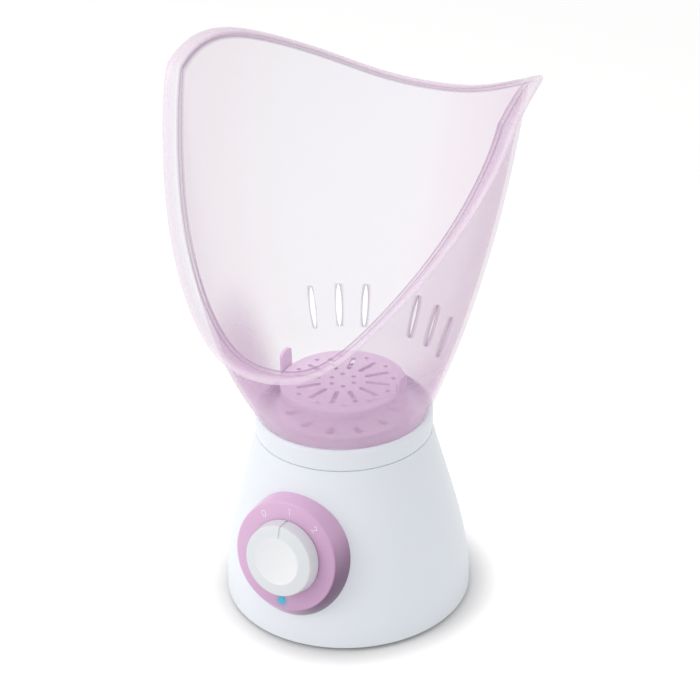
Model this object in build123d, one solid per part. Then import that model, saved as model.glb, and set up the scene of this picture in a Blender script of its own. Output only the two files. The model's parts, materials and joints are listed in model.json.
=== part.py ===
from build123d import *
import os
from math import atan2, cos, degrees, pi, radians, sin, tan

# Facial steamer: a bell-shaped base that boils a little water, and a clear mask
# that guides the steam to the face.  Millimetres, +Z up, the user at -Y, and the
# origin on the table under the middle of the base.

# ---- Base housing and its floor ---------------------------------------------------
FOOT_GAP = 2.5             # table to the housing's bottom edge
HOUSING_RADIUS = 70.0      # outside, at the bottom edge
HOUSING_HEIGHT = 101.0     # bottom edge to the seam under the collar
SHOULDER_RADIUS = 49.4     # outside, at the seam
BELL_LOWER_PULL = 35.0     # how long the bell's side stays upright
BELL_UPPER_PULL = 33.0     # how far down the shoulder's slope is felt
BELL_UPPER_SPREAD = 7.6    # how much the shoulder's slope widens on the way down
WALL = 2.5                 # moulded housing wall
FLOOR_THICKNESS = 2.5
FLOOR_CLEARANCE = 0.3      # floor plate to housing, all round
FOOT_RADIUS = 7.0
FOOT_RECESS = 1.0          # how deep each foot sits in the floor plate
FOOT_INSET = 20.0          # foot centre in from the housing's bottom edge
BOSS_RADIUS = 4.5
BOSS_TOP = 28.0            # above the table
BOSS_INSET = 8.4           # boss centre in from the housing's bottom edge
SCREW_RADIUS = 1.45        # shank of the small pan-head screws
SCREW_HEAD_RADIUS = 2.8
SCREW_HEAD_HEIGHT = 2.0
SCREW_REACH = 7.0          # thread beyond the clamped plate
FLOOR_BOSS_HEIGHT = 4.5    # pads on the floor plate that the screws pass through

# ---- Collar, water bowl and seal ---------------------------------------------------
COLLAR_HEIGHT = 12.8
COLLAR_ROUND = 2.0         # rounded top outer edge
COLLAR_FOOT_ROUND = 1.2    # rounded bottom outer edge, which draws the seam
LEDGE_DROP = 3.5           # housing's inner ledge below the seam
LEDGE_THICKNESS = 2.5
BOWL_RADIUS = 34.0         # inside, at the mouth
BOWL_DEPTH = 36.0
BOWL_FLOOR_RADIUS = 31.0
BOWL_CORNER = 5.0
BOWL_METAL = 1.0
BOWL_FLANGE = 6.5          # width of the bowl's flat rim
SEAL_THICKNESS = 1.5
COLLAR_SCREW_COUNT = 3

# ---- Heater -------------------------------------------------------------------------
HEATER_RADIUS = 26.0
HEATER_THICKNESS = 7.5
ELEMENT_RING_RADIUS = 17.5
ELEMENT_TUBE_RADIUS = 3.2
ELEMENT_SUNK = 2.0         # tube's centre above the plate's underside
ELEMENT_FIT = 0.05         # radial, tube in its groove
ELEMENT_GAP_ANGLE = 90.0
ELEMENT_BEND = 5.0
ELEMENT_TAIL = 12.0        # straight cold ends
STUD_RADIUS = 1.8
STUD_INSET = 2.4           # stud centre in from the plate's edge
NUT_FLATS = 6.4
NUT_HEIGHT = 2.6
THERMOSTAT_RADIUS = 7.0
THERMOSTAT_HEIGHT = 9.0
FUSE_RADIUS = 2.0
FUSE_LENGTH = 11.0

# ---- Dial ---------------------------------------------------------------------------
DIAL_HEIGHT = 57.5         # dial centre above the table
DIAL_TILT = 12.3           # dial axis above level
DIAL_PROUD = 7.2           # flat face in front of the housing wall
DIAL_RADIUS = 30.8         # flat face
DIAL_WALL = 2.0
SKIRT_SPREAD_SIDE = 1.0    # how far the skirt widens sideways
SKIRT_SPREAD_UPRIGHT = 5.4 # and upwards and downwards
SKIRT_DROP = 1.9           # skirt's oval sits this far below the face's centre
SKIRT_ROUND = 1.4          # rounded edge of the flat face
SKIRT_DEPTH = 22.0         # long enough to reach the curved housing at both sides
KNOB_BASE_RADIUS = 21.0
KNOB_RADIUS = 19.8
KNOB_PROUD = 9.2           # knob's front in front of the dial face
KNOB_DISH_RADIUS = 13.0
KNOB_DISH_DEPTH = 1.8
KNOB_SLOPE = 1.3           # how far the sloping band falls from dish to rim
KNOB_WALL = 2.0
KNOB_FRONT = 1.7           # thickness behind the dish
KNOB_GAP = 0.6             # knob's edge to the dial face
POINTER_WIDTH = 1.2
POINTER_DEPTH = 0.45       # groove across the band and down the side
SHAFT_RADIUS = 3.0
SHAFT_FLAT = 0.7           # depth of the flat that drives the knob
BUSHING_RADIUS = 4.5
RUNNING_FIT = 0.05         # radial, shaft in bushing
SWITCH_SIZE = 23.0
SWITCH_DEPTH = 15.0
LENS_RADIUS = 1.9
LENS_INSET = 5.0           # lens centre in from the flat face's edge
LENS_PROUD = 0.3
LED_RADIUS = 1.5
LED_LENGTH = 4.0
BOARD_WIDTH = 12.0
BOARD_HEIGHT = 10.0
BOARD_EDGE = 3.8           # board's lower edge in from the flat face's edge
BOARD_THICKNESS = 1.6
CLIP_THICKNESS = 1.8
CLIP_REACH = 14.0          # dial face to the clips' barbs
CLIP_BARB = 1.0
CLIP_CLEARANCE = 0.3
OPENING_MARGIN = 3.0       # housing opening smaller than the flat face, all round

# ---- Cord entry at the back -----------------------------------------------------------
CORD_HOLE_RADIUS = 3.6
GLAND_RADIUS = 6.5
GLAND_HEIGHT = 17.0        # above the table
GLAND_LENGTH = 16.0

# ---- Mask -----------------------------------------------------------------------------
MASK_WALL = 2.2
MASK_FOOT_INSET = 2.7      # mask's middle surface in from the shoulder
MASK_LEVELS = (0.0, 100.0, 190.0)      # heights above the mask's foot
SIDE_REACH = (79.2, 91.8)              # half width at the upper two levels
FRONT_REACH = (74.8, 26.2)             # axis to chin side
BACK_REACH = (83.6, 124.5)             # axis to forehead side
# rim heights every 22.5 degrees, from the chin to the back
RIM_HEIGHTS = (59.4, 66.4, 96.5, 139.1, 182.1, 187.1, 171.0, 156.4, 151.0)
LIP_WIDTHS = (13.0, 10.3, 10.0, 6.4, 5.0)   # chin, cheek, tip, temple, back
LIP_RISES = (12.4, 9.0, 24.0)          # lip's slope above square to the wall, degrees: chin, tip, back
LIP_CURL = 3.5
LIP_BEAD = 1.5             # radius of the rounded edge
SPIGOT_DEPTH = 5.0
SPIGOT_WALL = 2.1
SPIGOT_CLEARANCE = 0.3
SLOT_LENGTH = 23.0
SLOT_WIDTH = 3.4
SLOT_HEIGHT = 32.5         # slot centre above the mask's foot
SLOT_GROUP_ANGLE = 30.0    # each group's middle, from the back
SLOT_STEP = 14.7

# ---- Aroma unit -------------------------------------------------------------------------
TRAY_RADIUS = 37.3
TRAY_WALL = 1.6
TRAY_FLANGE = 2.1          # flange that rests on the collar's ledge
TRAY_DECK_RISE = 0.7       # deck above the collar's top
DRUM_RADIUS = 20.0
LID_RADIUS = 34.8
LID_THICKNESS = 1.8
LID_EDGE = 3.5
LID_RISE = 15.8            # lid's top above the collar's top
ARM_WIDTH = 10.0
ARM_THICKNESS = 1.8
ARM_RISE = 10.5            # finger arms above the lid
LID_SLOTS = 12
DECK_OPENINGS = 12

# ---- Wiring -------------------------------------------------------------------------------
WIRE_RADIUS = 1.0

# ---- Levels and radii that follow from the sizes above ---------------------------------------
EDGE_Z = FOOT_GAP
FLOOR_TOP = EDGE_Z + FLOOR_THICKNESS
SEAM_Z = EDGE_Z + HOUSING_HEIGHT
COLLAR_TOP = SEAM_Z + COLLAR_HEIGHT
LEDGE_TOP = SEAM_Z - LEDGE_DROP
FLANGE_TOP = LEDGE_TOP + BOWL_METAL
SEAL_TOP = FLANGE_TOP + SEAL_THICKNESS
FLANGE_RADIUS = BOWL_RADIUS + BOWL_FLANGE
SHOULDER_INNER = SHOULDER_RADIUS - WALL
LEDGE_INNER = BOWL_RADIUS + BOWL_METAL + 1.5
COLLAR_BORE = SHOULDER_RADIUS - 3.4
COLLAR_SCREW_CIRCLE = (FLANGE_RADIUS + SHOULDER_INNER) / 2
BOWL_BOTTOM = FLANGE_TOP - BOWL_DEPTH - BOWL_METAL
HEATER_BOTTOM = BOWL_BOTTOM - HEATER_THICKNESS
MASK_FOOT_RADIUS = SHOULDER_RADIUS - MASK_FOOT_INSET
TRAY_LEDGE = COLLAR_TOP - 8.0
DECK_TOP = COLLAR_TOP + TRAY_DECK_RISE
LID_TOP = COLLAR_TOP + LID_RISE


# ---- Small shared shapes ---------------------------------------------------------------------
def disc(radius, bottom, top, x=0, y=0):
    """Upright cylinder between two heights."""
    return Pos(x, y, (bottom + top) / 2) * Cylinder(radius, top - bottom)


def ring(inner, outer, bottom, top):
    """Upright tube between two heights."""
    return disc(outer, bottom, top) - disc(inner, bottom - 1, top + 1)


def box(width, depth, bottom, top, x=0, y=0):
    """Upright block between two heights."""
    return Pos(x, y, (bottom + top) / 2) * Box(width, depth, top - bottom)


def turned(edges):
    """Solid of revolution about Z from a closed outline drawn in the XZ plane."""
    return revolve(make_face(edges), Axis.Z)


def outline(*points):
    """Straight outline through (radius, height) points."""
    return Polyline([(radius, 0, height) for radius, height in points])


def spots(count, radius, first=0.0):
    """Evenly spaced (x, y) places on a circle."""
    angles = [radians(first + 360 * step / count) for step in range(count)]
    return [(radius * cos(angle), radius * sin(angle)) for angle in angles]


def pan_screw(bottom, grip, x, y):
    """Screw driven upwards: its head's underside clamps at bottom + head height."""
    head = disc(SCREW_HEAD_RADIUS, bottom, bottom + SCREW_HEAD_HEIGHT, x, y)
    head = fillet(head.edges().group_by(Axis.Z)[0], 0.9)
    shank_top = bottom + SCREW_HEAD_HEIGHT + grip + SCREW_REACH
    shank = disc(SCREW_RADIUS, bottom + SCREW_HEAD_HEIGHT, shank_top, x, y)
    slot = box(0.7, 2 * SCREW_HEAD_RADIUS, bottom - 1, bottom + 0.7, x, y)
    return head + shank - slot


# ---- Housing outline ---------------------------------------------------------------------------
def bell_points(inset):
    """Control points of the bell's side, moved inwards by inset."""
    return [
        (HOUSING_RADIUS - inset, EDGE_Z),
        (HOUSING_RADIUS - inset, EDGE_Z + BELL_LOWER_PULL),
        (SHOULDER_RADIUS + BELL_UPPER_SPREAD - inset, SEAM_Z - BELL_UPPER_PULL),
        (SHOULDER_RADIUS - inset, SEAM_Z),
    ]


def bell_radius(height):
    """Outside radius of the bell at one height, found by halving the curve."""
    low, high = 0.0, 1.0
    for _ in range(40):
        share = (low + high) / 2
        weights = [(1 - share) ** 3, 3 * share * (1 - share) ** 2, 3 * share**2 * (1 - share), share**3]
        z = sum(weight * point[1] for weight, point in zip(weights, bell_points(0)))
        low, high = (share, high) if z < height else (low, share)
    return sum(weight * point[0] for weight, point in zip(weights, bell_points(0)))


def bell_solid(inset):
    """Solid bell from the bottom edge to the seam."""
    side = Bezier([(radius, 0, height) for radius, height in bell_points(inset)])
    top_corner = (SHOULDER_RADIUS - inset, SEAM_Z)
    foot_corner = (HOUSING_RADIUS - inset, EDGE_Z)
    rest = outline(top_corner, (0, SEAM_Z), (0, EDGE_Z), foot_corner)
    return turned([side, rest])


# ---- Dial frame: local Z points out of the dial, local Y up its face -----------------------------
dial = Plane(
    origin=(0, -(bell_radius(DIAL_HEIGHT) + DIAL_PROUD), DIAL_HEIGHT),
    x_dir=(1, 0, 0),
    z_dir=(0, -cos(radians(DIAL_TILT)), sin(radians(DIAL_TILT))),
).location


def dial_skirt(inset):
    """The dial's outer body: round in front, oval where it meets the housing."""
    front = DIAL_RADIUS - inset
    sections = []
    for depth, share in ((inset, 0.0), (inset + 7.0, 0.75), (SKIRT_DEPTH, 1.0)):
        width = front + SKIRT_SPREAD_SIDE * share
        height = front + SKIRT_SPREAD_UPRIGHT * share
        sections.append(Pos(0, -SKIRT_DROP * share, -depth) * Ellipse(width, height))
    return loft(sections)


# ---- Base body -----------------------------------------------------------------------------------
def base_housing():
    shell = bell_solid(0) - bell_solid(WALL)
    ledge = ring(LEDGE_INNER, HOUSING_RADIUS, LEDGE_TOP - LEDGE_THICKNESS, LEDGE_TOP)
    shell += ledge & bell_solid(WALL / 2)
    for x, y in spots(4, HOUSING_RADIUS - BOSS_INSET, 45):
        post = disc(BOSS_RADIUS, EDGE_Z + FLOOR_BOSS_HEIGHT, BOSS_TOP, x, y)
        shell += post & bell_solid(0.4)
    for x, y in spots(4, HOUSING_RADIUS - BOSS_INSET, 45):
        shell -= disc(SCREW_RADIUS, EDGE_Z, BOSS_TOP - 3, x, y)
    for x, y in spots(COLLAR_SCREW_COUNT, COLLAR_SCREW_CIRCLE, 90):
        shell -= disc(SCREW_RADIUS, LEDGE_TOP - LEDGE_THICKNESS - 1, LEDGE_TOP + 1, x, y)
    cutter = Cylinder(DIAL_RADIUS - OPENING_MARGIN, SKIRT_DEPTH * 1.6)
    opening = Pos(0, 0, -SKIRT_DEPTH / 2 - DIAL_PROUD) * cutter
    shell -= dial * opening
    gland_y = bell_radius(GLAND_HEIGHT)
    shell -= Pos(0, gland_y, GLAND_HEIGHT) * Rot(90, 0, 0) * Cylinder(GLAND_RADIUS, 4 * WALL)
    return shell


def foot_places():
    """Four feet near the edge, and one under the middle that keeps the floor plate flat."""
    return spots(4, HOUSING_RADIUS - FOOT_INSET, 0) + [(0, 0)]


def base_plate():
    radius = HOUSING_RADIUS - WALL - FLOOR_CLEARANCE
    plate = disc(radius, EDGE_Z, FLOOR_TOP)
    rim_radius = radius - 1.0
    plate += ring(rim_radius - 2.0, rim_radius, FLOOR_TOP - 0.5, FLOOR_TOP + 1.5)
    for x, y in spots(4, HOUSING_RADIUS - BOSS_INSET, 45):
        plate += disc(BOSS_RADIUS, EDGE_Z, EDGE_Z + FLOOR_BOSS_HEIGHT, x, y)
    for x, y in spots(4, HOUSING_RADIUS - BOSS_INSET, 45):
        plate -= disc(SCREW_HEAD_RADIUS + 0.3, EDGE_Z - 1, EDGE_Z + SCREW_HEAD_HEIGHT + 0.4, x, y)
        plate -= disc(SCREW_RADIUS, EDGE_Z - 1, EDGE_Z + FLOOR_BOSS_HEIGHT + 1, x, y)
    for x, y in foot_places():
        plate -= disc(FOOT_RADIUS, EDGE_Z - 1, EDGE_Z + FOOT_RECESS, x, y)
    for step in (-4, -3, -2, 2, 3, 4):
        slot = SlotOverall(26, 3)
        plate -= Pos(0, step * 7, EDGE_Z - 1) * extrude(slot, FLOOR_THICKNESS + 2)
    for x in (-9, 9):
        plate += disc(2.5, FLOOR_TOP - 0.5, FLOOR_TOP + 4, x, 33)
    return plate


def rubber_feet():
    feet = []
    for x, y in foot_places():
        foot = disc(FOOT_RADIUS, 0, EDGE_Z + FOOT_RECESS, x, y)
        feet.append(fillet(foot.edges().group_by(Axis.Z)[0], 0.8))
    return feet


def base_screws():
    grip = FLOOR_BOSS_HEIGHT - SCREW_HEAD_HEIGHT - 0.4
    return [pan_screw(EDGE_Z + 0.4, grip, x, y) for x, y in spots(4, HOUSING_RADIUS - BOSS_INSET, 45)]


def collar_ring():
    outer = SHOULDER_RADIUS
    top = COLLAR_TOP
    straight = outline(
        (outer - COLLAR_FOOT_ROUND, SEAM_Z),
        (FLANGE_RADIUS + 0.4, SEAM_Z),
        (FLANGE_RADIUS + 0.4, SEAL_TOP),
        (BOWL_RADIUS + 1.0, SEAL_TOP),
        (BOWL_RADIUS + 1.0, TRAY_LEDGE),
        (COLLAR_BORE, TRAY_LEDGE),
        (COLLAR_BORE, top),
        (outer - COLLAR_ROUND, top),
    )
    bend = COLLAR_ROUND * (1 - cos(pi / 4))
    round_edge = ThreePointArc(
        (outer - COLLAR_ROUND, 0, top), (outer - bend, 0, top - bend), (outer, 0, top - COLLAR_ROUND)
    )
    low = SEAM_Z + COLLAR_FOOT_ROUND
    side = Line((outer, 0, top - COLLAR_ROUND), (outer, 0, low))
    foot_bend = COLLAR_FOOT_ROUND * (1 - cos(pi / 4))
    foot_edge = ThreePointArc(
        (outer, 0, low), (outer - foot_bend, 0, SEAM_Z + foot_bend), (outer - COLLAR_FOOT_ROUND, 0, SEAM_Z)
    )
    collar = turned([straight, round_edge, side, foot_edge])
    for x, y in spots(COLLAR_SCREW_COUNT, COLLAR_SCREW_CIRCLE, 90):
        collar += disc(2.4, LEDGE_TOP, SEAM_Z + 1, x, y)
    for x, y in spots(COLLAR_SCREW_COUNT, COLLAR_SCREW_CIRCLE, 90):
        collar -= disc(SCREW_RADIUS, LEDGE_TOP - 1, LEDGE_TOP + SCREW_REACH + 0.5, x, y)
    return collar


def collar_screws():
    bottom = LEDGE_TOP - LEDGE_THICKNESS - SCREW_HEAD_HEIGHT
    places = spots(COLLAR_SCREW_COUNT, COLLAR_SCREW_CIRCLE, 90)
    return [pan_screw(bottom, LEDGE_THICKNESS, x, y) for x, y in places]


def bowl_solid(mouth, floor_radius, floor_z, top_z, corner):
    """Round bowl with a rounded corner at its floor, as a solid."""
    cone = turned([outline((0, floor_z), (floor_radius, floor_z), (mouth, top_z), (0, top_z), (0, floor_z))])
    return fillet(cone.edges().group_by(Axis.Z)[0], corner)


def water_bowl():
    outer = bowl_solid(BOWL_RADIUS + BOWL_METAL, BOWL_FLOOR_RADIUS, BOWL_BOTTOM, FLANGE_TOP, BOWL_CORNER)
    outer += disc(FLANGE_RADIUS, LEDGE_TOP, FLANGE_TOP)
    inner_floor = BOWL_BOTTOM + BOWL_METAL
    inner_radius = BOWL_FLOOR_RADIUS - BOWL_METAL
    inner = bowl_solid(BOWL_RADIUS, inner_radius, inner_floor, FLANGE_TOP, BOWL_CORNER - BOWL_METAL)
    return outer - inner


def bowl_seal():
    return ring(BOWL_RADIUS + 1.0, FLANGE_RADIUS, FLANGE_TOP, SEAL_TOP)


# ---- Heater under the bowl -----------------------------------------------------------------------
STUD_PLACES = spots(3, HEATER_RADIUS - STUD_INSET, 30)
ELEMENT_Z = HEATER_BOTTOM + ELEMENT_SUNK


def heater_plate():
    plate = disc(HEATER_RADIUS, HEATER_BOTTOM, BOWL_BOTTOM)
    groove = ELEMENT_TUBE_RADIUS + ELEMENT_FIT
    plate -= Pos(0, 0, ELEMENT_Z) * Torus(ELEMENT_RING_RADIUS, groove)
    plate -= ring(
        ELEMENT_RING_RADIUS - groove,
        ELEMENT_RING_RADIUS + groove,
        HEATER_BOTTOM - 1,
        ELEMENT_Z,
    )
    for side in (-1, 1):
        start, along, _, _ = element_end(side)
        for drop in (0, 1, 2):
            lower = start - Vector(0, 0, drop)
            plate -= Plane(origin=lower, z_dir=along) * extrude(Circle(groove + 0.05), ELEMENT_BEND)
    for x, y in STUD_PLACES:
        plate -= disc(STUD_RADIUS, HEATER_BOTTOM - 1, BOWL_BOTTOM + 1, x, y)
    for x, y in spots(2, THERMOSTAT_RADIUS + 4.2):
        plate -= disc(SCREW_RADIUS, HEATER_BOTTOM - 1, HEATER_BOTTOM + SCREW_REACH, x, y)
    return plate


def element_end(side):
    """Where one cold end leaves the ring, which way it points, and its bottom point."""
    angle = radians(90 - side * ELEMENT_GAP_ANGLE / 2)
    start = Vector(ELEMENT_RING_RADIUS * cos(angle), ELEMENT_RING_RADIUS * sin(angle), ELEMENT_Z)
    along = Vector(-side * sin(angle), side * cos(angle), 0)
    bend_end = start + along * ELEMENT_BEND - Vector(0, 0, ELEMENT_BEND)
    return start, along, bend_end, bend_end - Vector(0, 0, ELEMENT_TAIL)


def heating_element():
    right_start, right_along, right_bend, right_tip = element_end(1)
    left_start, left_along, left_bend, left_tip = element_end(-1)
    front = Vector(0, -ELEMENT_RING_RADIUS, ELEMENT_Z)
    path = Wire(
        [
            Line(right_tip, right_bend),
            TangentArc(right_bend, right_start, tangent=(0, 0, 1)),
            ThreePointArc(right_start, front, left_start),
            TangentArc(left_start, left_bend, tangent=left_along),
            Line(left_bend, left_tip),
        ]
    )
    tube = Plane(origin=right_tip, z_dir=(0, 0, 1)) * Circle(ELEMENT_TUBE_RADIUS)
    return sweep(tube, path=path)


def heater_studs():
    return [disc(STUD_RADIUS, HEATER_BOTTOM - NUT_HEIGHT - 1.4, BOWL_BOTTOM, x, y) for x, y in STUD_PLACES]


def heater_nuts():
    nuts = []
    for x, y in STUD_PLACES:
        flat = RegularPolygon(NUT_FLATS / 2, 6, major_radius=False) - Circle(STUD_RADIUS)
        nuts.append(Pos(x, y, HEATER_BOTTOM - NUT_HEIGHT) * extrude(flat, NUT_HEIGHT))
    return nuts


def thermostat():
    bottom = HEATER_BOTTOM - THERMOSTAT_HEIGHT
    body = disc(THERMOSTAT_RADIUS, bottom, HEATER_BOTTOM)
    ears = extrude(SlotOverall(2 * (THERMOSTAT_RADIUS + 7), 5.6), 1.0)
    body += Pos(0, 0, HEATER_BOTTOM - 1.0) * ears
    for x, y in spots(2, THERMOSTAT_RADIUS + 4.2):
        body -= disc(SCREW_RADIUS, HEATER_BOTTOM - 2, HEATER_BOTTOM + 1, x, y)
    for y in (-4.5, 4.5):
        body += box(4.8, 0.8, bottom - 6, bottom + 1, 0, y)
    return body


def thermostat_screws():
    bottom = HEATER_BOTTOM - 1.0 - SCREW_HEAD_HEIGHT
    places = spots(2, THERMOSTAT_RADIUS + 4.2)
    return [pan_screw(bottom, 1.0, x, y) & disc(5, 0, HEATER_BOTTOM + SCREW_REACH, x, y) for x, y in places]


FUSE_Y = -(THERMOSTAT_RADIUS + 4.2)
FUSE_Z = HEATER_BOTTOM - FUSE_RADIUS
FUSE_LEAD = 3.6


def thermal_fuse():
    can = Rot(0, 90, 0) * Cylinder(FUSE_RADIUS, FUSE_LENGTH)
    leads = Rot(0, 90, 0) * Cylinder(0.5, FUSE_LENGTH + 2 * FUSE_LEAD)
    return Pos(0, FUSE_Y, FUSE_Z) * (can + leads)


def fuse_clip():
    strap = Rot(0, 90, 0) * (Cylinder(FUSE_RADIUS + 0.5, 4) - Cylinder(FUSE_RADIUS, 5))
    strap -= Pos(0, 0, 5) * Box(10, 10, 10)
    for side in (-1, 1):
        strap += Pos(0, side * (FUSE_RADIUS + 0.25), FUSE_RADIUS / 2) * Box(4, 0.5, FUSE_RADIUS)
    return Pos(0, FUSE_Y, FUSE_Z) * strap


# ---- Dial, switch and pilot light ----------------------------------------------------------------
LENS_Y = -(DIAL_RADIUS - LENS_INSET)
KNOB_INSIDE = KNOB_PROUD - KNOB_DISH_DEPTH - KNOB_FRONT
BOARD_FRONT = -(DIAL_WALL + 1.0 + LED_LENGTH)
BOARD_Y = -(DIAL_RADIUS - BOARD_EDGE - BOARD_HEIGHT / 2)
POST_Y = BOARD_Y + BOARD_HEIGHT / 2 - 2.5
SWITCH_BACK = -(DIAL_WALL + SWITCH_DEPTH)
BUSHING_TOP = 2.6


def dial_bezel():
    body = dial_skirt(0)
    body = fillet(body.edges().group_by(Axis.Z)[-1], SKIRT_ROUND)
    body -= dial_skirt(DIAL_WALL)
    clip_radius = DIAL_RADIUS - OPENING_MARGIN - CLIP_CLEARANCE
    clip_ring = Circle(clip_radius) - Circle(clip_radius - CLIP_THICKNESS)
    tube = Pos(0, 0, -1) * extrude(clip_ring, -(CLIP_REACH + 1))
    barb = extrude(Circle(clip_radius + CLIP_BARB) - Circle(clip_radius - CLIP_THICKNESS), -2)
    tube += Pos(0, 0, -CLIP_REACH) * barb
    body = dial * body - bell_solid(0)
    for turn in (45, 135, 225, 315):
        leg = tube & (Rot(0, 0, turn) * Pos(clip_radius, 0, -10) * Box(8, 9, 40))
        body += dial * leg
    for x in (-4.0, 4.0):
        post = Pos(x, POST_Y, -DIAL_WALL + 0.5) * extrude(Circle(1.4), BOARD_FRONT + DIAL_WALL - 0.5)
        pin = Pos(x, POST_Y, BOARD_FRONT + 0.5) * extrude(Circle(0.8), -(BOARD_THICKNESS + 1.1))
        body += dial * (post + pin)
    body -= dial * Cylinder(BUSHING_RADIUS + 0.1, 20)
    body -= dial * Pos(0, LENS_Y, 0) * Cylinder(LENS_RADIUS, 8)
    return body


def switch_body():
    depth = SWITCH_DEPTH
    block = Pos(0, 0, SWITCH_BACK + depth / 2) * Box(SWITCH_SIZE, SWITCH_SIZE, depth)
    block = fillet(block.edges().filter_by(Axis.Z), 3)
    bushing = Cylinder(BUSHING_RADIUS, BUSHING_TOP + DIAL_WALL + 1)
    block += Pos(0, 0, (BUSHING_TOP - DIAL_WALL - 1) / 2) * bushing
    block -= Cylinder(SHAFT_RADIUS + RUNNING_FIT, 2 * (DIAL_WALL + 8))
    return dial * block


def switch_terminals():
    blades = []
    for x in (-5, 5):
        blades.append(dial * Pos(x, 0, SWITCH_BACK - 3) * Box(0.8, 4.8, 6))
    return blades


def switch_nut():
    flat = RegularPolygon(7.0, 6, major_radius=False) - Circle(BUSHING_RADIUS)
    return dial * extrude(flat, 2.0)


def shaft_outline(radius):
    """D-shaped section of the switch shaft."""
    flat = Pos(0, -(radius - SHAFT_FLAT) - 5) * Rectangle(20, 10)
    return Circle(radius) - flat


def switch_shaft():
    lower = -(DIAL_WALL + 6)
    round_part = Pos(0, 0, lower) * extrude(Circle(SHAFT_RADIUS), BUSHING_TOP + 0.4 - lower)
    flatted = extrude(shaft_outline(SHAFT_RADIUS), KNOB_INSIDE - BUSHING_TOP - 0.2)
    driven = Pos(0, 0, BUSHING_TOP + 0.2) * flatted
    return dial * (round_part + driven)


def knob():
    rim_z = KNOB_PROUD - KNOB_SLOPE
    dish_sphere = (KNOB_DISH_RADIUS**2 + KNOB_DISH_DEPTH**2) / (2 * KNOB_DISH_DEPTH)
    sides = [
        (0, KNOB_GAP),
        (KNOB_BASE_RADIUS, KNOB_GAP),
        (KNOB_RADIUS, rim_z),
        (KNOB_DISH_RADIUS, KNOB_PROUD),
        (0, KNOB_PROUD),
        (0, KNOB_GAP),
    ]
    body = turned([outline(*sides)])
    rims = body.edges().filter_by(GeomType.CIRCLE)
    body = fillet(rims.filter_by(lambda edge: abs(edge.radius - KNOB_RADIUS) < 0.01), 0.8)
    body -= Pos(0, 0, KNOB_PROUD - KNOB_DISH_DEPTH + dish_sphere) * Sphere(dish_sphere)
    cavity = [
        (0, KNOB_GAP - 1),
        (KNOB_BASE_RADIUS - KNOB_WALL, KNOB_GAP - 1),
        (KNOB_RADIUS - KNOB_WALL, KNOB_INSIDE),
        (0, KNOB_INSIDE),
        (0, KNOB_GAP - 1),
    ]
    body -= turned([outline(*cavity)])
    hub = Pos(0, 0, BUSHING_TOP + 0.5) * extrude(Circle(5.5), KNOB_INSIDE - BUSHING_TOP)
    body += hub - extrude(shaft_outline(SHAFT_RADIUS), KNOB_INSIDE)
    band_slope = degrees(atan2(KNOB_SLOPE, KNOB_RADIUS - KNOB_DISH_RADIUS))
    band_groove = Rot(-band_slope, 0, 0) * Pos(0, 4.8, 2 - POINTER_DEPTH) * Box(POINTER_WIDTH, 8, 4)
    body -= Pos(0, KNOB_DISH_RADIUS, KNOB_PROUD) * band_groove
    side_slope = degrees(atan2(KNOB_BASE_RADIUS - KNOB_RADIUS, rim_z - KNOB_GAP))
    side_groove = Rot(side_slope, 0, 0) * Pos(0, 2 - POINTER_DEPTH, 0) * Box(POINTER_WIDTH, 4, 2 * rim_z)
    body -= Pos(0, KNOB_RADIUS, rim_z) * side_groove
    return dial * body


def indicator_lens():
    lens = extrude(Circle(LENS_RADIUS), LENS_PROUD + DIAL_WALL)
    lens = fillet(lens.edges().group_by(Axis.Z)[-1], 0.25)
    flange = extrude(Circle(LENS_RADIUS + 0.9), -1.0)
    return dial * Pos(0, LENS_Y, -DIAL_WALL) * (lens + flange)


def power_led():
    dome = Pos(0, 0, -LED_LENGTH) * extrude(Circle(LED_RADIUS), LED_LENGTH - 0.05)
    dome = fillet(dome.edges().group_by(Axis.Z)[-1], 1.2)
    dome += Pos(0, 0, -LED_LENGTH) * extrude(Circle(LED_RADIUS + 0.4), 0.8)
    return dial * Pos(0, LENS_Y, -DIAL_WALL - 1.0) * dome


def led_board():
    plate = Box(BOARD_WIDTH, BOARD_HEIGHT, BOARD_THICKNESS)
    board = Pos(0, BOARD_Y, BOARD_FRONT - BOARD_THICKNESS / 2) * plate
    for x in (-4.0, 4.0):
        board -= Pos(x, POST_Y, BOARD_FRONT) * Cylinder(0.8, 6)
    return dial * board


def led_resistor():
    body = Rot(0, 90, 0) * Cylinder(0.9, 5)
    return dial * Pos(0, BOARD_Y - 1, BOARD_FRONT - BOARD_THICKNESS - 0.9) * body


# ---- Cord entry and wiring -----------------------------------------------------------------------
BLOCK_Y = 33.0
BLOCK_BOTTOM = FLOOR_TOP + 4
BLOCK_TOP = BLOCK_BOTTOM + 10


def cord_gland():
    outside_y = bell_radius(GLAND_HEIGHT)
    tube = Rot(90, 0, 0) * Cylinder(GLAND_RADIUS, GLAND_LENGTH)
    tube = Pos(0, outside_y + 2.6 - GLAND_LENGTH / 2, GLAND_HEIGHT) * tube
    collar = Pos(0, outside_y + 1.7, GLAND_HEIGHT) * Rot(90, 0, 0) * Cylinder(GLAND_RADIUS + 2, 1.8)
    grip = Pos(0, outside_y - WALL - 1.9, GLAND_HEIGHT) * Rot(90, 0, 0) * Cylinder(GLAND_RADIUS + 1.4, 1.6)
    bore = Pos(0, outside_y, GLAND_HEIGHT) * Rot(90, 0, 0) * Cylinder(CORD_HOLE_RADIUS, 4 * GLAND_LENGTH)
    return tube + collar + grip - bore


def terminal_block():
    block = box(26, 13, BLOCK_BOTTOM, BLOCK_TOP, 0, BLOCK_Y)
    for x in (-9, 0, 9):
        block -= disc(1.6, BLOCK_TOP - 5, BLOCK_TOP + 1, x, BLOCK_Y + 3.5)
    return block


def terminal_screws():
    return [disc(1.6, BLOCK_TOP - 5, BLOCK_TOP - 0.6, x, BLOCK_Y + 3.5) for x in (-9, 0, 9)]


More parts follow.
